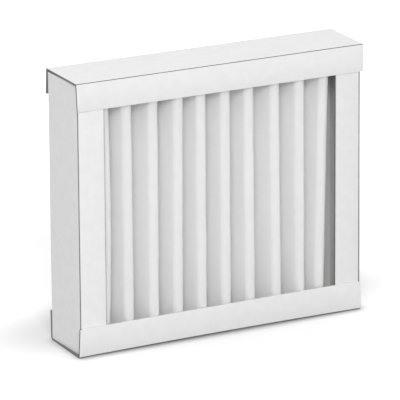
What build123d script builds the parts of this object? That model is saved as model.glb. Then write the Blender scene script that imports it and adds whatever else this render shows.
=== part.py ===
"""Pleated panel air filter: a box of four folded board channels holding one pleated sheet.

Millimetres.  +X runs across the panel, +Y through it from front to back and +Z up.
The origin is the middle of the panel's footprint on the surface it stands on.
"""
from build123d import *
from math import asin, atan2, cos, hypot, sin
import os

# ---- the panel ---------------------------------------------------------------------------
panel_width = 230.0       # along the top and bottom channels
panel_height = 202.8      # over the two webs
panel_depth = 48.0        # over the front and rear flanges

# ---- the board ---------------------------------------------------------------------------
board = 1.5               # lined board, stamped flat, scored and folded
top_score = 0.45          # half cuts on the outside, which open to steps when folded
bottom_score = 0.9
side_score = 0.55
top_front_flange = 20.3   # every flange is measured from its web's outer face
top_rear_flange = 18.9
bottom_front_flange = 21.8
bottom_rear_flange = 22.1
left_flange = 19.9
right_flange = 21.0

# ---- how the channels lap ----------------------------------------------------------------
lap_glue = 0.2            # film between an outer flange and the side flange behind it
left_inset = 1.6          # the left web stands this far in from the long channels' ends
right_inset = 1.4
side_head_gap = 0.3       # a side channel is this much short of the top web

# ---- the pleated sheet -------------------------------------------------------------------
sheet = 2.2               # loft of the nonwoven
fold_radius = 3.2         # of every fold, at the middle of the sheet
folding_pitch = 19.35     # between front folds, as near as the window's width allows
first_crest_gap = 2.3     # from the left flange's edge to the middle of the first front fold
last_crest_gap = 9.65     # from the middle of the last front fold to the right flange's edge
crest_drift = (1.0, -1.7, -0.6, -0.3, -0.9, -0.7, -0.6, 1.3, 1.9, 0.6)  # laid by hand
tail_gap = 4.0            # from the cut end of the sheet to the side web beyond it
bed_thickness = 0.8       # adhesive on each web, which the ends of the pleats stand in
bed_inset = 0.3           # from a side web's outer face to the end of the bed under its foot
edge_glue = 0.2           # film between a tail and the rear flange that it lies on

# ---- planes that the pieces share --------------------------------------------------------
left_end = -panel_width / 2
right_end = panel_width / 2
left_web = left_end + left_inset
right_web = right_end - right_inset
left_flange_edge = left_web + left_flange
right_flange_edge = right_web - right_flange
lap_front = -panel_depth / 2 + board + lap_glue
lap_rear = -lap_front
pack_front = lap_front + board
pack_rear = lap_rear - board
inner_bottom = board
inner_top = panel_height - board
pack_bottom = inner_bottom + bed_thickness
pack_top = inner_top - bed_thickness
side_foot = pack_bottom
side_head = inner_top - side_head_gap

os.makedirs("parts", exist_ok=True)


def channel_outline(depth, front_flange, rear_flange, score):
    """Section of a scored and folded strip: web along Y at the bottom, flanges up.

    Both outer corners are stepped, where the half cut in the board has opened.
    """
    with BuildSketch() as outline:
        with Locations((0, board / 2)):
            Rectangle(depth, board)
        for side, flange in ((-1, front_flange), (1, rear_flange)):
            with Locations((side * (depth - board) / 2, flange / 2)):
                Rectangle(board, flange)
            with Locations((side * depth / 2, 0)):
                Rectangle(2 * score, 2 * score, mode=Mode.SUBTRACT)
    return outline.sketch


def folded_channel(start, length, outline):
    """One channel, drawn on the plane at its end and run along that plane's normal."""
    with BuildPart() as channel:
        with BuildSketch(start):
            add(outline)
        extrude(amount=length)
    return channel


# %% The bottom channel stands on its web, and the top channel is its fellow upside down
bottom_end = Plane(origin=(left_end, 0, 0), x_dir=(0, 1, 0), z_dir=(1, 0, 0))
bottom_outline = channel_outline(
    panel_depth, bottom_front_flange, bottom_rear_flange, bottom_score
)
bottom_channel = folded_channel(bottom_end, panel_width, bottom_outline)

top_end = Plane(origin=(right_end, 0, panel_height), x_dir=(0, 1, 0), z_dir=(-1, 0, 0))
top_outline = channel_outline(panel_depth, top_front_flange, top_rear_flange, top_score)
top_channel = folded_channel(top_end, panel_width, top_outline)

# %% The side channels stand on the adhesive, with their flanges inside the others'
side_length = side_head - side_foot
side_depth = lap_rear - lap_front

left_end_plane = Plane(origin=(left_web, 0, side_head), x_dir=(0, 1, 0), z_dir=(0, 0, -1))
left_outline = channel_outline(side_depth, left_flange, left_flange, side_score)
left_channel = folded_channel(left_end_plane, side_length, left_outline)

right_end_plane = Plane(origin=(right_web, 0, side_foot), x_dir=(0, 1, 0), z_dir=(0, 0, 1))
right_outline = channel_outline(side_depth, right_flange, right_flange, side_score)
right_channel = folded_channel(right_end_plane, side_length, right_outline)

# %% Where the sheet turns: every fold is an arc about one of these centres
first_crest = left_flange_edge + first_crest_gap
last_crest = right_flange_edge - last_crest_gap
crests = 1 + round((last_crest - first_crest) / folding_pitch)
pleat_pitch = (last_crest - first_crest) / (crests - 1)
front_line = pack_front + sheet / 2 + fold_radius
rear_line = pack_rear - edge_glue - sheet / 2 - fold_radius
front_folds = [
    (first_crest + i * pleat_pitch + crest_drift[i % len(crest_drift)], front_line)
    for i in range(crests)
]
rear_folds = [((a[0] + b[0]) / 2, rear_line) for a, b in zip(front_folds, front_folds[1:])]
half_pitch = pleat_pitch / 2
first_bend = (front_folds[0][0] - half_pitch, rear_line)
last_bend = (front_folds[-1][0] + half_pitch, rear_line)


def flank(start, end, side):
    """The straight run between two folds, tangent to both.

    side is 1 from a front fold back to a rear one, and -1 from a rear fold to a front one.
    """
    run = end[0] - start[0]
    rise = (end[1] - start[1]) * side
    lean = atan2(run, rise) - asin(2 * fold_radius / hypot(run, rise))
    reach_x = fold_radius * cos(lean)
    reach_y = fold_radius * sin(lean) * side
    leaving = (start[0] + reach_x, start[1] - reach_y)
    arriving = (end[0] - reach_x, end[1] + reach_y)
    return leaving, arriving


# %% The sheet's own line: tail, bend, then flank after flank, and the last bend and tail
folds = [first_bend]
for i in range(crests - 1):
    folds += [front_folds[i], rear_folds[i]]
folds += [front_folds[-1], last_bend]
sheet_rear = rear_line + fold_radius
left_tail_tip = (left_web + board + tail_gap, sheet_rear)
right_tail_tip = (right_web - board - tail_gap, sheet_rear)

with BuildPart() as pleated_media:
    with BuildSketch(Plane.XY.offset(pack_bottom)):
        with BuildLine():
            here = (first_bend[0], sheet_rear)
            Line(left_tail_tip, here)
            for i in range(len(folds) - 1):
                to_the_rear = i % 2
                side = 1 if to_the_rear else -1
                leaving, arriving = flank(folds[i], folds[i + 1], side)
                apex = (folds[i][0], folds[i][1] - side * fold_radius)
                if i == 0:
                    RadiusArc(here, leaving, fold_radius)
                else:
                    ThreePointArc(here, apex, leaving)
                Line(leaving, arriving)
                here = arriving
            bend_end = (last_bend[0], sheet_rear)
            RadiusArc(here, bend_end, fold_radius)
            Line(bend_end, right_tail_tip)
        trace(line_width=sheet)
    extrude(amount=pack_top - pack_bottom)

# %% Adhesive: a bed on each web, a strip under each tail and a film in each lap
def glue_bed(height, left, right, depth):
    """A flat bed of adhesive in a long channel's trough."""
    with BuildPart() as bed:
        with BuildSketch(Plane.XY.offset(height)):
            with Locations(((left + right) / 2, 0)):
                Rectangle(right - left, depth)
        extrude(amount=bed_thickness)
    return bed


bottom_glue_bed = glue_bed(
    inner_bottom, left_web + bed_inset, right_web - bed_inset, side_depth
)
top_glue_bed = glue_bed(
    pack_top, left_web + board, right_web - board, pack_rear - pack_front
)


def edge_strip(near, far):
    """The strip that holds one tail of the sheet to a side channel's rear flange."""
    with BuildPart() as strip:
        with BuildSketch(Plane.XY.offset(pack_bottom)):
            with Locations(((near + far) / 2, pack_rear - edge_glue / 2)):
                Rectangle(abs(far - near), edge_glue)
        extrude(amount=pack_top - pack_bottom)
    return strip


left_edge_glue = edge_strip(left_tail_tip[0], first_bend[0])
right_edge_glue = edge_strip(max(last_bend[0], right_flange_edge), right_tail_tip[0])

with BuildPart() as corner_glue:
    for lap, low_edge, high_edge in (
        (lap_front - lap_glue, bottom_front_flange, panel_height - top_front_flange),
        (lap_rear, bottom_rear_flange, panel_height - top_rear_flange),
    ):
        with BuildSketch(Plane.XZ.offset(-lap)):
            for low, high in ((side_foot, low_edge), (high_edge, side_head)):
                for near, far in (
                    (left_web + side_score, left_flange_edge),
                    (right_flange_edge, right_web - side_score),
                ):
                    with Locations(((near + far) / 2, (low + high) / 2)):
                        Rectangle(far - near, high - low)
        extrude(amount=-lap_glue)

# %% Name and write every piece
top_channel.part.label = "top_channel"
bottom_channel.part.label = "bottom_channel"
left_channel.part.label = "left_channel"
right_channel.part.label = "right_channel"
pleated_media.part.label = "pleated_media"
bottom_glue_bed.part.label = "bottom_glue_bed"
top_glue_bed.part.label = "top_glue_bed"
left_edge_glue.part.label = "left_edge_glue"
right_edge_glue.part.label = "right_edge_glue"
corner_glue.part.label = "corner_glue"

export_step(top_channel.part, "parts/top_channel.step")
export_step(bottom_channel.part, "parts/bottom_channel.step")
export_step(left_channel.part, "parts/left_channel.step")
export_step(right_channel.part, "parts/right_channel.step")
export_step(pleated_media.part, "parts/pleated_media.step")
export_step(bottom_glue_bed.part, "parts/bottom_glue_bed.step")
export_step(top_glue_bed.part, "parts/top_glue_bed.step")
export_step(left_edge_glue.part, "parts/left_edge_glue.step")
export_step(right_edge_glue.part, "parts/right_edge_glue.step")
export_step(corner_glue.part, "parts/corner_glue.step")

developed = pleated_media.part.volume / sheet / (pack_top - pack_bottom)
print(f"the sheet lies flat as {developed:.1f} by {pack_top - pack_bottom:.1f} mm")
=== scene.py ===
# %% [markdown]
# A pleated panel filter is a box without a front or a back.  Four strips of lined board are
# scored, folded into channels and glued at the corners, and one long sheet of nonwoven stands
# inside in upright folds.  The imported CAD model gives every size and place.  Here each strip
# and the sheet are made again as the real ones are, with soft edges and their own finish.

from math import asin, atan2, cos, hypot, pi, radians, sin

import bmesh
import bpy
import numpy as np
from mathutils import Matrix, Vector, noise


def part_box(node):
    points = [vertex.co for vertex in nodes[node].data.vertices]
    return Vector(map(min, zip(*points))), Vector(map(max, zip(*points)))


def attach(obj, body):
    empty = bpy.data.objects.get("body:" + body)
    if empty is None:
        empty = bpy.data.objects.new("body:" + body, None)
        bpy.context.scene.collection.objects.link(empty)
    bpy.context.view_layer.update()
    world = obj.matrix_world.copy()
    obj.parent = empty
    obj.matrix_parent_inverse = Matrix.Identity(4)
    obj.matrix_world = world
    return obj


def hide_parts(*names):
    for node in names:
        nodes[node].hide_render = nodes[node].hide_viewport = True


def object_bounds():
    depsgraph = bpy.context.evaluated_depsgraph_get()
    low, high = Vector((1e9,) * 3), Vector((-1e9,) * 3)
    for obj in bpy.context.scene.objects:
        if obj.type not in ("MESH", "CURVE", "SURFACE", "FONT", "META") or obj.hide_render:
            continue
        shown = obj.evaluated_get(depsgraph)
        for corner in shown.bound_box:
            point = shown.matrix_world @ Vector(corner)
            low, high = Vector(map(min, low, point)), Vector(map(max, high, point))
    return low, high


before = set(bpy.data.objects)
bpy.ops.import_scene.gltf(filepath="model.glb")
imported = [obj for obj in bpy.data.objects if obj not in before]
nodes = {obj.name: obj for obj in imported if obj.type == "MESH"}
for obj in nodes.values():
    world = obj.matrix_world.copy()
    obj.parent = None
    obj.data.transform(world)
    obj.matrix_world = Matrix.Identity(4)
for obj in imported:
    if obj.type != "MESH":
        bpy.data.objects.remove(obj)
cad_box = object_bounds()
bpy.ops.object.select_all(action="DESELECT")
mm = 0.001
panel_low, panel_high = cad_box
print("panel in mm:", [round(v / mm, 1) for v in panel_high - panel_low])

# %% [markdown]
# The camera stands well back with a long lens, so the panel's edges stay nearly parallel.  It
# looks from the left and from a little above.  Its place is given in metres, and its turn as
# three plain angles.

# %% Camera
camera_place = Vector((-1.1860, -2.2884, 0.9060))
look_right = radians(27.28)
look_down = radians(17.467)
tip_left = radians(-0.29)
lens = 336.3
sensor_width = 36.0
sees_as_far_as = 50.0

bpy.ops.object.camera_add()
camera = bpy.context.object
camera.name = "camera"
camera.data.sensor_width = sensor_width
camera.data.lens = lens
camera.data.clip_end = sees_as_far_as
turn = Matrix.Rotation(-look_right, 4, "Z") @ Matrix.Rotation(pi / 2 - look_down, 4, "X")
camera.matrix_world = (
    Matrix.Translation(camera_place) @ turn @ Matrix.Rotation(tip_left, 4, "Z")
)
bpy.context.scene.camera = camera
print("camera at", [round(v, 3) for v in camera.location])

# %% [markdown]
# Plain studio light.  A pale room lights every side, a little more from behind and from the
# right, and one broad soft lamp stands above and behind the camera.  The lamp shines deep into
# the folds, leaves the panel's left end darker than its face, and throws a soft shade on the
# floor behind.  Strength follows the direction that the light comes from, which makes one side
# of the room brighter without a second lamp.

# %% View and light of the room
white = (1.0, 1.0, 1.0, 1.0)
room_light = 0.728
room_lean = Vector((0.27, 0.62, 0.0))

scene = bpy.context.scene
scene.view_settings.view_transform = "Standard"
world = bpy.data.worlds.new("room")
scene.world = world
world.use_nodes = True
room = world.node_tree
room.nodes.clear()
lit = room.nodes.new("ShaderNodeBackground")
lit.inputs["Color"].default_value = white
direction = room.nodes.new("ShaderNodeTexCoord")
toward = room.nodes.new("ShaderNodeVectorMath")
toward.operation = "DOT_PRODUCT"
toward.inputs[1].default_value = room_lean
brighter = room.nodes.new("ShaderNodeMath")
brighter.inputs[1].default_value = room_light
room.links.new(direction.outputs["Generated"], toward.inputs[0])
room.links.new(toward.outputs["Value"], brighter.inputs[0])
room.links.new(brighter.outputs[0], lit.inputs["Strength"])
print("room lights at", room_light, "and leans by", [round(v, 2) for v in room_lean])

# %% [markdown]
# The room is seen as plain white, also in glossy surfaces, but it lights the panel at less than
# that.  So the pale board keeps its shading and the background stays clean.

# %% What is seen of the room
seen = room.nodes.new("ShaderNodeBackground")
seen.inputs["Color"].default_value = white
seen.inputs["Strength"].default_value = 1.0
path = room.nodes.new("ShaderNodeLightPath")
either = room.nodes.new("ShaderNodeMath")
either.operation = "MAXIMUM"
mix = room.nodes.new("ShaderNodeMixShader")
out = room.nodes.new("ShaderNodeOutputWorld")
room.links.new(path.outputs["Is Camera Ray"], either.inputs[0])
room.links.new(path.outputs["Is Glossy Ray"], either.inputs[1])
room.links.new(either.outputs[0], mix.inputs["Fac"])
room.links.new(lit.outputs[0], mix.inputs[1])
room.links.new(seen.outputs[0], mix.inputs[2])
room.links.new(mix.outputs[0], out.inputs["Surface"])
print("room has", len(room.nodes), "nodes")

# %% Lamp
lamp_watts = 79.5
lamp_size = 1.2
lamp_from = Vector((-1.26, -2.94, 1.69))
lamp_at = Vector((0.0, 0.0, 0.1))

bpy.ops.object.light_add(type="AREA", location=lamp_from)
lamp = bpy.context.object
lamp.name = "soft_lamp"
lamp.data.energy = lamp_watts
lamp.data.size = lamp_size
lamp.rotation_euler = (lamp_at - lamp_from).to_track_quat("-Z", "Y").to_euler()
print("lamp", lamp_watts, "W,", lamp_size, "m wide")

# %% [markdown]
# Every finish of the panel is a Principled shader with a pattern that varies its colour a little
# and gives it some relief.  Three small helpers save writing the same nodes each time.


# %% Helpers for a finish
def new_finish(name):
    """An empty material with a Principled shader, its nodes and a node adder."""
    finish = bpy.data.materials.new(name)
    finish.use_nodes = True
    tree = finish.node_tree
    shader = tree.nodes["Principled BSDF"]

    def add(kind, **settings):
        node = tree.nodes.new("ShaderNode" + kind)
        for key, value in settings.items():
            if key in node.inputs:
                node.inputs[key].default_value = value
            else:
                setattr(node, key, value)
        return node

    return finish, tree, shader, add


def tone_between(add, places, colours):
    """A ramp from one colour to another between two places of a pattern."""
    tone = add("ValToRGB")
    for element, place, colour in zip(tone.color_ramp.elements, places, colours):
        element.position = place
        element.color = (*colour, 1)
    return tone


def lay_pattern(tree, shader, pattern, tone, heights, relief):
    """Give a shader its colour from a pattern and a ramp, and its relief from some heights."""
    tree.links.new(pattern, tone.inputs["Fac"])
    tree.links.new(tone.outputs["Color"], shader.inputs["Base Color"])
    tree.links.new(heights, relief.inputs["Height"])
    tree.links.new(relief.outputs["Normal"], shader.inputs["Normal"])


# %% [markdown]
# The floor is a white sweep.  It has to take the panel's shadow and still run into the white
# room.  A brighter floor would throw light up at the panel, so plain white is added instead,
# and only to what the camera sees of it.

# %% Floor
floor_white = 0.60
bpy.ops.mesh.primitive_plane_add(size=12, location=(0, 0, 0))
floor = bpy.context.object
floor.name = "floor"
finish, tree, shader, add = new_finish("white_sweep")
shader.inputs["Base Color"].default_value = (floor_white, floor_white, floor_white, 1)
shader.inputs["Roughness"].default_value = 0.9
shader.inputs["Specular IOR Level"].default_value = 0.0
floor.data.materials.append(finish)
print("floor white", floor_white)

# %% [markdown]
# Some of that white is added close by, and all of it from half a metre away.  Where the floor
# meets the panel's foot it is held back, as painted shade: in an oval about the foot, and in the
# narrow gap under the curled rims, which Ambient Occlusion finds.

# %% White close by and far off
near_lift = 0.475
fade_from = 0.22
fade_to = 0.50
place = add("TexCoord")
distance = add("VectorMath", operation="LENGTH")
fade = add("MapRange", interpolation_type="SMOOTHSTEP")
fade.inputs["From Min"].default_value = fade_from
fade.inputs["From Max"].default_value = fade_to
fade.inputs["To Min"].default_value = near_lift
fade.inputs["To Max"].default_value = 1.0
tree.links.new(place.outputs["Object"], distance.inputs[0])
tree.links.new(distance.outputs["Value"], fade.inputs["Value"])
print("white added:", near_lift, "within", fade_from, "m and 1 from", fade_to, "m")

# %% Shade about the foot
oval_place = (0.004, 0.034, 0.0)
oval_size = (0.172, 0.070, 1.0)
oval_from = 0.50
oval_to = 1.12
oval_shade = 0.82
oval = add("Mapping", vector_type="TEXTURE")
oval.inputs["Location"].default_value = oval_place
oval.inputs["Scale"].default_value = oval_size
from_middle = add("VectorMath", operation="LENGTH")
shade = add("MapRange", interpolation_type="SMOOTHSTEP")
shade.inputs["From Min"].default_value = oval_from
shade.inputs["From Max"].default_value = oval_to
shade.inputs["To Min"].default_value = 1.0 - oval_shade
shade.inputs["To Max"].default_value = 1.0
shaded = add("Math", operation="MULTIPLY")
tree.links.new(place.outputs["Object"], oval.inputs["Vector"])
tree.links.new(oval.outputs["Vector"], from_middle.inputs[0])
tree.links.new(from_middle.outputs["Value"], shade.inputs["Value"])
tree.links.new(fade.outputs["Result"], shaded.inputs[0])
tree.links.new(shade.outputs["Result"], shaded.inputs[1])
print("oval shade", oval_shade, "at most")

# %% Painted shade in the gap under the rims
gap_reach = 0.008
gap_depth = 2.0
# Painted contact shade: the white seen by the camera is dimmed where Ambient Occlusion finds the
# gap.
gap = add("AmbientOcclusion", samples=16)
gap.inputs["Distance"].default_value = gap_reach
deeper = add("Math", operation="POWER")
deeper.inputs[1].default_value = gap_depth
lift = add("Math", operation="MULTIPLY")
tree.links.new(gap.outputs["AO"], deeper.inputs[0])
tree.links.new(shaded.outputs[0], lift.inputs[0])
tree.links.new(deeper.outputs[0], lift.inputs[1])
print("gap found within", gap_reach / mm, "mm")

# %% Show the added white to the camera alone
seen_by_camera = add("LightPath")
glow = add("Emission")
both = add("AddShader")
plain = add("MixShader")
tree.links.new(lift.outputs[0], glow.inputs["Strength"])
tree.links.new(shader.outputs[0], both.inputs[0])
tree.links.new(glow.outputs[0], both.inputs[1])
tree.links.new(seen_by_camera.outputs["Is Camera Ray"], plain.inputs["Fac"])
tree.links.new(shader.outputs[0], plain.inputs[1])
tree.links.new(both.outputs[0], plain.inputs[2])
tree.links.new(plain.outputs[0], tree.nodes["Material Output"].inputs["Surface"])
print("floor has", len(tree.nodes), "nodes")

# %% [markdown]
# The board is recycled pulp with one smooth white face.  Three finishes cover a channel: the
# lined face outside, the plain pulp back inside, and the fibrous core wherever the board is cut.
# The lined face is nearly even, with a faint mottle from the pulp under its coat and a fine
# grain.

# %% Lined face
lined_face, tree, shader, add = new_finish("lined_face")
place = add("TexCoord")
mottle = add("TexNoise", Scale=140.0, Detail=3.0, Roughness=0.5)
grain = add("TexNoise", Scale=1500.0, Detail=2.0, Roughness=0.6)
tone = tone_between(add, (0.35, 0.65), ((0.825, 0.825, 0.825), (0.850, 0.850, 0.850)))
relief = add("Bump", Strength=0.12, Distance=0.0002)
tree.links.new(place.outputs["Object"], mottle.inputs["Vector"])
tree.links.new(place.outputs["Object"], grain.inputs["Vector"])
lay_pattern(tree, shader, mottle.outputs["Fac"], tone, grain.outputs["Fac"], relief)
shader.inputs["Roughness"].default_value = 0.62
shader.inputs["Specular IOR Level"].default_value = 0.25
print("finish", lined_face.name)

# %% [markdown]
# The back has no coat.  It is pale, quite matt, and rough with pulp, so one noise with much
# detail gives both its colour and its relief.

# %% Plain back
plain_back, tree, shader, add = new_finish("plain_back")
place = add("TexCoord")
pulp = add("TexNoise", Scale=900.0, Detail=5.0, Roughness=0.7)
tone = tone_between(add, (0.3, 0.7), ((0.84, 0.84, 0.835), (0.94, 0.94, 0.935)))
relief = add("Bump", Strength=0.3, Distance=0.0003)
tree.links.new(place.outputs["Object"], pulp.inputs["Vector"])
lay_pattern(tree, shader, pulp.outputs["Fac"], tone, pulp.outputs["Fac"], relief)
shader.inputs["Roughness"].default_value = 0.95
shader.inputs["Specular IOR Level"].default_value = 0.1
print("finish", plain_back.name)

# %% [markdown]
# The core is dark and loose.  The scores are half cuts, so it also shows as a fine dark line
# along each fold.

# %% Cut core
cut_core, tree, shader, add = new_finish("cut_core")
place = add("TexCoord")
pulp = add("TexNoise", Scale=1800.0, Detail=4.0, Roughness=0.7)
tone = tone_between(add, (0.3, 0.7), ((0.18, 0.18, 0.18), (0.28, 0.28, 0.275)))
relief = add("Bump", Strength=0.5, Distance=0.0003)
tree.links.new(place.outputs["Object"], pulp.inputs["Vector"])
lay_pattern(tree, shader, pulp.outputs["Fac"], tone, pulp.outputs["Fac"], relief)
shader.inputs["Roughness"].default_value = 1.0
shader.inputs["Specular IOR Level"].default_value = 0.0
print("finish", cut_core.name)

# %% [markdown]
# A channel begins as a flat strip.  Its long edges are drawn up into flanges, the strip gets
# the board's thickness inward, and the two outer corners are cut in a step where the score has
# opened.  A last fine bevel takes the edge off everything that was cut or folded.  All of it is
# edit-mode work, so first come helpers that select edges by their place and apply a modifier.

# %% Working in edit mode
near = 0.01 * mm
parallel = 0.99


def pick(piece, test):
    """Select, in edit mode, only the edges that pass a test of the edge and its middle."""
    bpy.ops.mesh.select_mode(type="EDGE")
    bpy.ops.mesh.select_all(action="DESELECT")
    mesh = bmesh.from_edit_mesh(piece.data)
    for edge in mesh.edges:
        points = [v.co for v in edge.verts]
        middle = sum(points, Vector()) / len(points)
        edge.select_set(bool(test(edge, middle)))
    bmesh.update_edit_mesh(piece.data)


def runs_along(edge, axis):
    """True if an edge is parallel to an axis, 0 to 2."""
    along = edge.verts[1].co - edge.verts[0].co
    return abs(along[axis]) > parallel * along.length


def finish_modifier(piece, kind, **settings):
    """Add a modifier to a piece and apply it."""
    modifier = piece.modifiers.new(kind.lower(), kind)
    for key, value in settings.items():
        setattr(modifier, key, value)
    bpy.context.view_layer.objects.active = piece
    bpy.ops.object.modifier_apply(modifier=modifier.name)


# %% [markdown]
# The CAD solids say where each web is and how far each flange reaches from it.  A web is always
# on the outside of the panel, so it is at the end of the channel's box that is nearer to the
# panel's own.

# %% Measure a channel
board = 1.5 * mm


def web_place(node, across):
    """Where a channel's web has its outer face, on the axis that its flanges reach along."""
    low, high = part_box(node)
    if low[across] - panel_low[across] < panel_high[across] - high[across]:
        return low[across]
    return high[across]


def flange_reach(node, across, side):
    """How far a channel's front (-1) or rear (1) flange reaches from the web's outer face."""
    low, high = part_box(node)
    web = web_place(node, across)
    edge = max(abs(low[1]), abs(high[1])) - board / 2
    corners = [v.co for v in nodes[node].data.vertices if v.co.y * side > edge]
    return max(abs(corner[across] - web) for corner in corners)


for node, across in (
    ("bottom_channel", 2),
    ("top_channel", 2),
    ("left_channel", 0),
    ("right_channel", 0),
):
    print(node, "front flange", round(flange_reach(node, across, -1) / mm, 1), "mm")

# %% [markdown]
# A strip could be one long box with a hollow cut in it.  A thin plane with two flanges is better,
# because it can still lean and curl as board does, before it gets its thickness.

# %% Draw a strip
length_cuts = 31


def draw_strip(name, length, half, flanges):
    """A thin channel in edit mode: its web on z = 0, its length along x and its flanges up."""
    bpy.ops.mesh.primitive_plane_add(size=1)
    strip = bpy.context.object
    strip.name = name
    strip.scale = (length, 2 * half, 1)
    bpy.ops.object.transform_apply(scale=True)
    bpy.ops.object.mode_set(mode="EDIT")
    for side, flange in flanges.items():
        pick(strip, lambda edge, at: at.y * side > half - near and at.z < near)
        bpy.ops.mesh.extrude_region_move(TRANSFORM_OT_translate={"value": (0, 0, flange)})
    pick(strip, lambda edge, at: runs_along(edge, 0))
    bpy.ops.mesh.subdivide(number_cuts=length_cuts)
    return strip


# %% [markdown]
# Rows of cuts are needed wherever the shape or the finish changes: three along each rim of the
# web, which curls, one near each end, past which the inner faces are painted dark as shade where
# the channels meet, and one under the free edges of a side channel, where the cut edge shows core
# and a painted shadow line runs beside it.

# %% Cut rows into a strip
rim_width = 5 * mm
rim_rows = (0.5, 0.75, 1.0)
# Inner faces this near a channel's ends get the core's dark colour as painted shade.
end_shade_reach = 2.2 * mm
# The last strip of a side channel's flanges: its cut edge is real core, and the faces beside it
# are a painted shadow line.
edge_core_and_shade = 0.34 * mm


def cut_row(place, normal):
    """Cut right through a strip, in edit mode, along one plane."""
    bpy.ops.mesh.select_all(action="SELECT")
    bpy.ops.mesh.bisect(plane_co=place, plane_no=normal)


def cut_rows(half, length):
    """Cut the rows along both rims and across both ends."""
    for side in (-1, 1):
        for inward in rim_rows:
            cut_row((0, side * (half - inward * rim_width), 0), (0, 1, 0))
    for end in (-1, 1):
        cut_row((end * (length / 2 - end_shade_reach), 0, 0), (1, 0, 0))


def face_outward(strip):
    """Turn every face of a strip away from its trough."""
    bpy.ops.mesh.select_all(action="SELECT")
    bpy.ops.mesh.normals_make_consistent(inside=False)
    mesh = bmesh.from_edit_mesh(strip.data)
    web_face = min(mesh.faces, key=lambda face: face.calc_center_median().z)
    if web_face.normal.z > 0:
        bpy.ops.mesh.flip_normals()


# %% [markdown]
# No folded strip is quite square.  The rear flanges spring outward a little, the cut ends of
# the long channels aren't square to their folds, and the bottom web curls up at its rims, so
# that the panel stands on the middle of it.  Each fault moves corners of the thin strip, by where
# they are.  Those that lie below web_top belong to the web.

# %% Small faults of a folded strip
web_top = 3 * mm


def lean_out(mesh, side, half, flange, lean):
    """Spring the free edge of one flange outward, on side 1 or -1 of the strip."""
    for corner in mesh.verts:
        if corner.co.y * side > half - near:
            corner.co.y += side * lean * (corner.co.z / flange) ** 2


def cut_askew(mesh, half, length, flanges, ends):
    """Move a strip's cut ends.

    ends says, for an end and a side, by how much at the fold and by how much at the free edge.
    """
    for end in (-1, 1):
        shifts = [ends.get((end, side), (0.0, 0.0)) for side in (-1, 1)]
        for corner in mesh.verts:
            if corner.co.x * end < length / 2 - near:
                continue
            across = (corner.co.y + half) / (2 * half)
            at_fold = shifts[0][0] * (1 - across) + shifts[1][0] * across
            at_edge = shifts[0][1] * (1 - across) + shifts[1][1] * across
            side = 1 if corner.co.y > 0 else -1
            height = corner.co.z / flanges[side]
            corner.co.x += at_fold * (1 - height) + at_edge * height


def curl_up(mesh, half, length, rims):
    """Lift both rims of a web, by the lifts at its left end, middle and right end."""
    left, middle, right = rims
    for corner in mesh.verts:
        if corner.co.z > web_top:
            continue
        t = corner.co.x / length + 0.5
        lift = left * (1 - t) * (1 - 2 * t) + middle * 4 * t * (1 - t) + right * t * (2 * t - 1)
        inward = min(1, (half - abs(corner.co.y)) / rim_width)
        corner.co.z += lift * (1 - inward) ** 2


# %% [markdown]
# Solidify gives the strip its board.  A bevel with the profile of a step then cuts each outer
# corner as a half cut leaves it when the board is folded.  The bevel isn't clamped, because the
# short faces at the ends would stop it short, and the points that it lays on each other there
# are merged.

# %% Thicken a strip and open its scores
merge_within = 0.03 * mm


def thicken_and_score(channel, half, score):
    """Give a strip the board's thickness inward, and cut both outer corners in a step."""
    finish_modifier(channel, "SOLIDIFY", thickness=board, offset=-1, use_even_offset=True)
    bpy.ops.object.mode_set(mode="EDIT")
    pick(
        channel,
        lambda edge, at: at.z < web_top and abs(at.y) > half - near and runs_along(edge, 0),
    )
    bpy.ops.mesh.bevel(offset=score, segments=2, profile=0.0, affect="EDGES", clamp_overlap=False)
    bpy.ops.mesh.select_all(action="SELECT")
    bpy.ops.mesh.remove_doubles(threshold=merge_within)
    bpy.ops.object.mode_set(mode="OBJECT")


# %% [markdown]
# The finish of a face follows from where it is and which way it looks, which is how far its
# normal agrees with a direction.  Core shows on the cut ends, in the steps of the scores and on a
# side channel's cut free edges.  The core's dark colour is also painted as shade on the inner
# faces near the ends, where the channels meet, and as a shadow line along the faces beside a side
# channel's free edges.  Any other face that looks into the trough is plain back, and the rest is
# lined.

# %% Lay the finishes on a channel
faces_out = 0.5
faces_along = 0.7


def lay_finishes(channel, half, length, flanges, score, web_height, with_edge_core_and_shade):
    """Put the lined face, plain back and cut core on the faces of a channel."""
    for finish in (lined_face, plain_back, cut_core):
        channel.data.materials.append(finish)
    for face in channel.data.polygons:
        at = face.center
        side = 1 if at.y > 0 else -1
        standing = at.z > web_height
        outward = Vector((0, side, 0)) if standing else Vector((0, 0, -1))
        inner = face.normal.dot(outward) < faces_out
        cut_end = abs(face.normal.x) > faces_along
        in_score = half - score - near < abs(at.y) < half - near and not standing
        # Painted shade where the channels meet: inner faces near the ends take the core's colour.
        painted_end_shade = inner and abs(at.x) > length / 2 - end_shade_reach
        # Real core on a side channel's cut edge, and a painted shadow line on the faces beside
        # it.
        edge_core_and_shade_here = with_edge_core_and_shade and at.z > flanges[side] - edge_core_and_shade
        if cut_end or in_score or painted_end_shade or edge_core_and_shade_here:
            face.material_index = 2
        elif inner:
            face.material_index = 1


# %% Take the edge off a channel
soft_edge = 0.12 * mm
empty_within = 0.001 * mm


def soften(channel):
    """Bevel every sharp edge a little, and clear away the empty faces that this can leave."""
    finish_modifier(
        channel,
        "BEVEL",
        width=soft_edge,
        segments=2,
        limit_method="ANGLE",
        angle_limit=radians(50),
    )
    bpy.ops.object.mode_set(mode="EDIT")
    bpy.ops.mesh.select_all(action="SELECT")
    bpy.ops.mesh.dissolve_degenerate(threshold=empty_within)
    bpy.ops.object.mode_set(mode="OBJECT")
    bpy.ops.object.shade_smooth_by_angle(angle=radians(35))


# %% [markdown]
# The four channels differ only in their sizes, their turn and their faults, so one maker does
# them all.  It works on a strip that lies along x, and turns it into place at the end.


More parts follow.
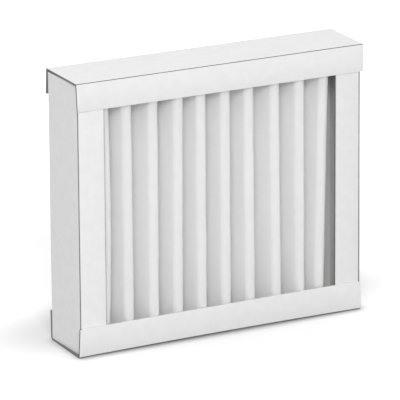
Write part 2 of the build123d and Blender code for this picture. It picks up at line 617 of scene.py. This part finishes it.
# %% The channel maker
def folded_channel(name, node, length_axis, turn, score, lean, ends, rims):
    """One channel over a CAD node, with its faults and finishes, turned into its place."""
    low, high = (Vector(corner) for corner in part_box(node))
    size = high - low
    length = size[length_axis]
    half = size.y / 2
    across = 2 - length_axis
    is_side_channel = length_axis == 2
    rear = 1 if turn[0] == 0 else -1
    flanges = {rear: flange_reach(node, across, 1), -rear: flange_reach(node, across, -1)}

    channel = draw_strip(name, length, half, flanges)
    cut_rows(half, length)
    if is_side_channel:
        cut_row((0, 0, flanges[1] - edge_core_and_shade), (0, 0, 1))
    face_outward(channel)
    mesh = bmesh.from_edit_mesh(channel.data)
    lean_out(mesh, rear, half, flanges[rear], lean)
    cut_askew(mesh, half, length, flanges, ends)
    curl_up(mesh, half, length, rims)
    bmesh.update_edit_mesh(channel.data)
    bpy.ops.object.mode_set(mode="OBJECT")
    thicken_and_score(channel, half, score)
    web_height = board + max(rims)
    lay_finishes(channel, half, length, flanges, score, web_height, is_side_channel)
    soften(channel)

    channel.rotation_euler = turn
    channel.location = (low + high) / 2
    channel.location[across] = web_place(node, across)
    bpy.ops.object.transform_apply(location=True, rotation=True, scale=True)
    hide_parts(node)
    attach(channel, "root")
    channel.select_set(False)
    reaches = [round(reach / mm, 1) for reach in flanges.values()]
    print(name, "length", round(length / mm, 1), "mm, flanges", reaches, "mm")
    return channel


# %% [markdown]
# The long channels run the panel's whole width and hold the side channels between their flanges.
# The bottom one has the deeper score, and its web curls up most at its middle.  The top one's
# rear flange springs out by twice as much.

# %% Bottom channel
folded_channel(
    "bottom_channel_board",
    "bottom_channel",
    0,
    (0, 0, 0),
    0.9 * mm,
    lean=0.7 * mm,
    ends={(-1, -1): (-0.3 * mm, 0.7 * mm), (1, -1): (0.0, -0.8 * mm)},
    rims=(0.35 * mm, 1.05 * mm, 0.2 * mm),
)

# %% Top channel
flat_web = (0, 0, 0)
top = folded_channel(
    "top_channel_board",
    "top_channel",
    0,
    (pi, 0, 0),
    0.45 * mm,
    lean=1.4 * mm,
    ends={
        (-1, 1): (0.3 * mm, 1.1 * mm),
        (-1, -1): (-0.4 * mm, -0.4 * mm),
        (1, 1): (0.2 * mm, 0.2 * mm),
        (1, -1): (0.1 * mm, 0.1 * mm),
    },
    rims=flat_web,
)

# %% [markdown]
# The side channels are held flat between the long ones.  They differ only in their scores, and
# the right one's has opened wider than any other.

# %% Side channels
held_flat = {"lean": 0.0, "ends": {}, "rims": flat_web}
left = folded_channel(
    "left_channel_board", "left_channel", 2, (0, pi / 2, 0), 0.55 * mm, **held_flat
)
right = folded_channel(
    "right_channel_board", "right_channel", 2, (0, -pi / 2, 0), 1.3 * mm, **held_flat
)

# %% [markdown]
# They weren't glued in quite square, though.  The left one is turned a little, so that its rear
# fold stands further out.  Its front flange reaches further in, and its foot is pressed down
# into the adhesive.  The corners of the finished channel are moved, each by where it is.

# %% Turn the left channel
left_turn = 1.7 * mm
left_wider = 0.85 * mm
left_sunk = 0.8 * mm
low, high = (Vector(corner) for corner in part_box("left_channel"))
for corner in left.data.vertices:
    place = corner.co
    reach = (place.x - low.x) / (high.x - low.x)
    if place.y < low.y + board:
        place.x += left_wider * reach
    place.x -= left_turn * (place.y - low.y) / (high.y - low.y)
    if place.z < low.z + board:
        place.z -= left_sunk
print("left channel turned by", round(left_turn / mm, 1), "mm")

# %% [markdown]
# The right channel stands further out at its foot, and its web further out than its flanges.  Its
# front flange is narrower toward the top, and the lined face of that flange has torn back from
# the score, which shows a little more of the core.

# %% Set the right channel askew
right_foot = 1.2 * mm
right_out = 0.5 * mm
right_narrower = 0.6 * mm
right_torn = 0.4 * mm
low, high = (Vector(corner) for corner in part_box("right_channel"))
front_face = low.y + 0.1 * board
beside_score = high.x - 1.1 * board
for corner in right.data.vertices:
    place = corner.co
    height = (place.z - low.z) / (high.z - low.z)
    reach = (high.x - place.x) / (high.x - low.x)
    if place.y < front_face and place.x > beside_score:
        place.x -= right_torn
    if place.y < low.y + board:
        place.x += right_narrower * reach * height
    place.x += right_foot * (1 - height) + right_out * (1 - reach)
print("right channel's foot out by", round(right_foot / mm, 1), "mm")

# %% [markdown]
# The top channel was pressed on last.  Its web rises a little toward the rear, and its front
# flange hangs a little lower than it was cut.

# %% Set the top channel askew
top_rear_up = 0.5 * mm
top_front_down = 0.3 * mm
low, high = (Vector(corner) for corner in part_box("top_channel"))
for corner in top.data.vertices:
    place = corner.co
    if place.y < low.y + board:
        place.z -= top_front_down * (high.z - place.z) / (high.z - low.z)
    place.z += top_rear_up * (place.y - low.y) / (high.y - low.y)
print("top channel's rear edge up by", round(top_rear_up / mm, 1), "mm")

# %% [markdown]
# Hot-melt adhesive holds the pleats' ends, the sheet's two tails and the laps at the corners.  It
# is a milky, slightly glossy plastic that was laid while it ran.  Its tone is set greyer than
# that plastic, as painted shade where its ends show in the narrow gaps at the panel's foot.  The
# thin strips and films keep the CAD shapes and get this finish.

# %% Hot-melt finish
hot_melt, tree, shader, add = new_finish("hot_melt")
place = add("TexCoord")
ripple = add("TexNoise", Scale=220.0, Detail=2.0, Roughness=0.5)
# Greyer than milky hot-melt: partly the plastic's own tone, partly painted shade for the gaps
# where it shows.
tone = tone_between(add, (0.35, 0.65), ((0.52, 0.51, 0.47), (0.62, 0.61, 0.57)))
relief = add("Bump", Strength=0.4, Distance=0.0006)
tree.links.new(place.outputs["Object"], ripple.inputs["Vector"])
lay_pattern(tree, shader, ripple.outputs["Fac"], tone, ripple.outputs["Fac"], relief)
shader.inputs["Roughness"].default_value = 0.35
shader.inputs["Subsurface Weight"].default_value = 0.3
shader.inputs["Subsurface Radius"].default_value = (1.0, 1.0, 1.0)
shader.inputs["Subsurface Scale"].default_value = 0.002
for node in ("left_edge_glue", "right_edge_glue", "corner_glue"):
    nodes[node].data.materials.clear()
    nodes[node].data.materials.append(hot_melt)
    print(node, "has the finish", hot_melt.name)

# %% [markdown]
# The two long beds, one on each web, are poured.  Each is a shallow slab over its CAD solid, cut
# into a fine grid, with the free side rippled by noise and its right end left ragged.


# %% The glue bed maker
bed_end_inset = 1.4 * mm
bed_ripple = 0.25 * mm
ripple_size = 6 * mm
raggedness = 3
bed_cuts_along = 90
bed_cuts_across = 16


def poured_bed(name, node, free_side):
    """A shallow slab over a CAD bed, rippled on the side (-1 or 1 in z) that lies free."""
    low, high = (Vector(corner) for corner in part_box(node))
    low.x += bed_end_inset
    high.x -= bed_end_inset
    size = high - low
    bpy.ops.mesh.primitive_cube_add(size=1, location=(low + high) / 2)
    bed = bpy.context.object
    bed.name = name
    bed.scale = size
    bpy.ops.object.transform_apply(location=True, rotation=True, scale=True)
    bpy.ops.object.mode_set(mode="EDIT")
    pick(bed, lambda edge, at: runs_along(edge, 0))
    bpy.ops.mesh.subdivide(number_cuts=bed_cuts_along)
    pick(bed, lambda edge, at: runs_along(edge, 1))
    bpy.ops.mesh.subdivide(number_cuts=bed_cuts_across)
    mesh = bmesh.from_edit_mesh(bed.data)
    free = high.z if free_side > 0 else low.z
    for corner in mesh.verts:
        place = corner.co
        wave = bed_ripple * noise.noise(Vector((place.x, place.y, free)) / ripple_size)
        if abs(place.z - free) < near:
            place.z += wave - free_side * bed_ripple
        if place.x > high.x - near:
            place.x += raggedness * wave
    bmesh.update_edit_mesh(bed.data)
    bpy.ops.object.mode_set(mode="OBJECT")
    bpy.ops.object.shade_smooth_by_angle(angle=radians(40))
    bed.data.materials.append(hot_melt)
    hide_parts(node)
    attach(bed, "root")
    bed.select_set(False)
    print(name, "in mm", [round(v / mm, 1) for v in size])


# %% Glue beds
poured_bed("bottom_glue_pour", "bottom_glue_bed", 1)
poured_bed("top_glue_pour", "top_glue_bed", -1)

# %% [markdown]
# The sheet is a lofty nonwoven: combed fibres, others across them, and soft clumps.  Its pattern
# reads the sheet's own flat map, so that the fibres follow the sheet round every fold.  Light
# passes a little way into it, which softens the shade in the folds.

# %% Fibres of the nonwoven
nonwoven, tree, shader, add = new_finish("lofty_nonwoven")
combed_scale = (900.0, 3200.0, 1.0)
crossed_scale = (3000.0, 1000.0, 1.0)
crossed_turn = (0.0, 0.0, 0.5)
clump_share = 0.8
flat_place = add("UVMap", uv_map="flat_sheet")
combed = add("Mapping", Scale=combed_scale)
crossed = add("Mapping", Scale=crossed_scale, Rotation=crossed_turn)
combed_fibres = add("TexNoise", Scale=1.0, Detail=3.0, Roughness=0.6, Distortion=0.8)
crossed_fibres = add("TexNoise", Scale=1.0, Detail=3.0, Roughness=0.6, Distortion=0.8)
clumps = add("TexNoise", Scale=160.0, Detail=4.0, Roughness=0.6)
fibres = add("Math", operation="MAXIMUM")
loft = add("Math", operation="MULTIPLY_ADD")
loft.inputs[1].default_value = clump_share
tree.links.new(flat_place.outputs["UV"], combed.inputs["Vector"])
tree.links.new(flat_place.outputs["UV"], crossed.inputs["Vector"])
tree.links.new(flat_place.outputs["UV"], clumps.inputs["Vector"])
tree.links.new(combed.outputs["Vector"], combed_fibres.inputs["Vector"])
tree.links.new(crossed.outputs["Vector"], crossed_fibres.inputs["Vector"])
tree.links.new(combed_fibres.outputs["Fac"], fibres.inputs[0])
tree.links.new(crossed_fibres.outputs["Fac"], fibres.inputs[1])
tree.links.new(clumps.outputs["Fac"], loft.inputs[0])
tree.links.new(fibres.outputs[0], loft.inputs[2])
print("fibre scales", combed_scale[:2], crossed_scale[:2])

# %% Nonwoven finish
tone = tone_between(add, (0.3, 0.7), ((0.965, 0.965, 0.965), (0.985, 0.985, 0.985)))
relief = add("Bump", Strength=0.25, Distance=0.0003)
lay_pattern(tree, shader, clumps.outputs["Fac"], tone, loft.outputs[0], relief)
shader.inputs["Roughness"].default_value = 1.0
shader.inputs["Specular IOR Level"].default_value = 0.1
shader.inputs["Subsurface Weight"].default_value = 1.0
shader.inputs["Subsurface Radius"].default_value = (1.0, 1.0, 1.0)
shader.inputs["Subsurface Scale"].default_value = 0.007
shader.inputs["Sheen Weight"].default_value = 0.2
shader.inputs["Sheen Roughness"].default_value = 0.5
print("finish", nonwoven.name)

# %% [markdown]
# A real sheet is creased by a blade and gathered by hand, so the folds are round, no two are
# quite parallel, and the surface is never flat.  It could be simulated as cloth, but a stiff
# sheet that is glued along both edges hardly moves, so it is made as a flat grid of its real
# size, whose points are carried onto the folded line one height at a time.  The CAD solid
# already has every fold at its place, so its own outermost points are measured.  Those of one
# fold lie on a circle, and a circle through them gives the middle of the fold.


# %% Find the folds in the CAD solid
def circle_through(points):
    """Centre of the circle that best fits some points in the plane."""
    flat = np.array(points)
    middle = flat.mean(0)
    x, y = (flat - middle).T
    system = np.column_stack((2 * x, 2 * y, np.ones_like(x)))
    answer = np.linalg.lstsq(system, x * x + y * y, rcond=None)[0]
    return middle[0] + answer[0], middle[1] + answer[1]


def folds_on(side, points, depth=0.9 * mm, apart=3 * mm, fewest=4):
    """Centres of the folds on one side of the sheet: -1 is the front and 1 the rear."""
    outermost = max(side * y for x, y in points)
    close = sorted(point for point in points if side * point[1] > outermost - depth)
    groups = [[close[0]]]
    for point in close[1:]:
        if point[0] - groups[-1][-1][0] > apart:
            groups.append([])
        groups[-1].append(point)
    return [circle_through(group) for group in groups if len(group) >= fewest]


media_low, media_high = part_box("pleated_media")
outline = {(round(v.co.x, 6), round(v.co.y, 6)) for v in nodes["pleated_media"].data.vertices}
front_folds = folds_on(-1, outline)
rear_folds = folds_on(1, outline)
print(len(front_folds), "front folds at", [round(x / mm, 1) for x, y in front_folds])
print(len(rear_folds), "rear folds at", [round(x / mm, 1) for x, y in rear_folds])

# %% [markdown]
# At each height the sheet runs from its left tail round a first bend, forward and back through
# every fold, and out along its right tail.  Between two folds it runs nearly straight and meets
# both smoothly, but it swells a little beside each front fold, as a lofty sheet does.

# %% Points along straight runs and flanks
sheet = 2.2 * mm
fold_radius = front_folds[0][1] - media_low.y - sheet / 2
flank_steps = 10
swell = 1.5 * mm


def flank(start, end, side):
    """Where the straight run between two folds leaves one and meets the other."""
    run = end[0] - start[0]
    rise = (end[1] - start[1]) * side
    lean = atan2(run, rise) - asin(2 * fold_radius / hypot(run, rise))
    reach_x = fold_radius * cos(lean)
    reach_y = fold_radius * sin(lean) * side
    return (start[0] + reach_x, start[1] - reach_y), (end[0] - reach_x, end[1] + reach_y)


def straight(start, end, steps):
    """Points from start up to but not at the end."""
    return [
        (start[0] + (end[0] - start[0]) * i / steps, start[1] + (end[1] - start[1]) * i / steps)
        for i in range(steps)
    ]


def swollen(start, end, side):
    """Points along a flank, pushed away from the front fold that it leaves (1) or meets (-1)."""
    points = []
    run = end[0] - start[0]
    rise = abs(end[1] - start[1])
    length = hypot(run, rise)
    for i, (x, y) in enumerate(straight(start, end, flank_steps)):
        share = i / flank_steps
        from_front = share if side > 0 else 1 - share
        push = swell * sin(pi * share) * (1 - from_front) * side / length
        points.append((x + push * rise, y - push * run))
    return points


print("fold radius", round(fold_radius / mm, 2), "mm")

# %% The folded line at one height
fold_steps = 12
tail_steps = 3


def around(middle, start, end, side, steps):
    """Points round one fold, over its outermost point, up to but not at the end."""
    first = atan2(start[1] - middle[1], start[0] - middle[0])
    last = atan2(end[1] - middle[1], end[0] - middle[0])
    if first * side < 0:
        first += side * 2 * pi
    return [
        (
            middle[0] + fold_radius * cos(first + (last - first) * i / steps),
            middle[1] + fold_radius * sin(first + (last - first) * i / steps),
        )
        for i in range(steps)
    ]


def sheet_line(folds, left_tip, right_tip):
    """Points along the middle of the sheet.  Its first and last folds are the bends."""
    rear = folds[0][1] + fold_radius
    here = (folds[0][0], rear)
    points = straight((left_tip, rear), here, tail_steps)
    for i in range(len(folds) - 1):
        side = -1 if i % 2 else 1
        leaving, arriving = flank(folds[i], folds[i + 1], -side)
        points += around(folds[i], here, leaving, side, fold_steps)
        points += swollen(leaving, arriving, -side)
        here = arriving
    bend_end = (folds[-1][0], rear)
    points += around(folds[-1], here, bend_end, 1, fold_steps)
    points += straight(bend_end, (right_tip, rear), tail_steps)
    points.append((right_tip, rear))
    return points


# %% Measure the sheet flat
middle_folds = [rear_folds[0]]
for i in range(len(front_folds)):
    middle_folds += [front_folds[i], rear_folds[i + 1]]
line = sheet_line(middle_folds, media_low.x, media_high.x)
along = [0.0]
for a, b in zip(line, line[1:]):
    along.append(along[-1] + hypot(b[0] - a[0], b[1] - a[1]))
flat_height = media_high.z - media_low.z

# %% [markdown]
# Each front fold leans, by up to 1.6 mm either way from the middle of its height, and may bow,
# which draws its two glued ends to the left.  All of them stand a little to the right of the CAD
# folds, and the first one stands back from the flange in front of it.  A rear fold moves by the
# mean of its two neighbours, and the two bends stay.

# %% Where every fold is at a height
lean_of_fold = (0.2, -0.4, 0.0, 0.5, -0.2, -0.3, -0.8, -1.2, -0.7, 1.6)
bow_of_fold = (2.0, 0.1, 0.0, 0.0, 0.0, 0.0, 0.0, 0.0, 0.0, 0.0)
folds_right = 0.4
first_fold_back = 1.2


def folds_at(height):
    """Every fold's middle at a height, from -1 at the foot of the sheet to 1 at its top."""
    leaning = []
    for i in range(len(front_folds)):
        shift = folds_right + lean_of_fold[i] * height - bow_of_fold[i] * height * height
        back = first_fold_back if i == 0 else 0
        leaning.append((front_folds[i][0] + shift * mm, front_folds[i][1] + back * mm))
    folds = [rear_folds[0]]
    for i in range(len(leaning)):
        follow = leaning[i][0] - front_folds[i][0]
        if i + 1 < len(leaning):
            follow = (follow + leaning[i + 1][0] - front_folds[i + 1][0]) / 2
        else:
            follow = 0
        folds += [leaning[i], (rear_folds[i + 1][0] + follow, rear_folds[i + 1][1])]
    return folds


print("folds lean by", lean_of_fold, "mm")

# %% [markdown]
# The grid has one column for each point of the line and some rows up the sheet.  A column and a
# row are worked out for each of its points while it is still flat.

# %% Flat grid
rows = 60
bpy.ops.mesh.primitive_grid_add(x_subdivisions=len(line) - 1, y_subdivisions=rows, size=1)
media = bpy.context.object
media.name = "pleated_sheet"
grid = []
for vertex in media.data.vertices:
    column = round((vertex.co.x + 0.5) * (len(line) - 1))
    row = round((vertex.co.y + 0.5) * rows)
    grid.append((column, row))
print("grid of", len(line), "by", rows + 1, "points")

# %% [markdown]
# Each point is carried to its place on its own row's line.  It then stands out from the line by
# a slow wave and a quick one, because a lofty sheet is never flat.

# %% Carry the grid onto the folded line
slow_wave = 0.22 * mm
slow_size = (14 * mm, 32 * mm)
quick_wave = 0.07 * mm
quick_size = (4 * mm, 7 * mm)
other_noise = 9


def surface_wave(x, z):
    """How far the sheet's surface stands out at a place of the flat sheet."""
    slow = noise.noise(Vector((x / slow_size[0], z / slow_size[1], 0)))
    quick = noise.noise(Vector((x / quick_size[0], z / quick_size[1], other_noise)))
    return slow_wave * slow + quick_wave * quick


lines = []
for row in range(rows + 1):
    lines.append(sheet_line(folds_at(2 * row / rows - 1), media_low.x, media_high.x))
for vertex, (column, row) in zip(media.data.vertices, grid):
    before = Vector(lines[row][max(column - 1, 0)])
    after = Vector(lines[row][min(column + 1, len(line) - 1)])
    across = (after - before).orthogonal().normalized()
    z = media_low.z + flat_height * row / rows
    here = Vector(lines[row][column]) + across * surface_wave(along[column], z)
    vertex.co = (here.x, here.y, z)
print("folded, waves up to", round((slow_wave + quick_wave) / mm, 2), "mm")

# %% [markdown]
# The grid's own map is kept as the flat sheet's, in metres, for the fibres to follow.  Solidify
# then lays half of the loft on each side of the line.

# %% Flat map, thickness and finish
flat_map = media.data.uv_layers[0]
flat_map.name = "flat_sheet"
for corner in media.data.loops:
    column, row = grid[corner.vertex_index]
    flat_map.data[corner.index].uv = (along[column], flat_height * row / rows)
finish_modifier(media, "SOLIDIFY", thickness=sheet, offset=0)
bpy.ops.object.mode_set(mode="EDIT")
bpy.ops.mesh.select_all(action="SELECT")
bpy.ops.mesh.normals_make_consistent(inside=False)
bpy.ops.object.mode_set(mode="OBJECT")
bpy.ops.object.shade_smooth_by_angle(angle=radians(40))
media.data.materials.append(nonwoven)
media.select_set(False)
print("pleated sheet faces", len(media.data.polygons))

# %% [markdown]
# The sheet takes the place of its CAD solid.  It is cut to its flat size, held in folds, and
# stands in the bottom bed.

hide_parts("pleated_media")
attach(media, "root")
print("sheet stands in the bottom bed")
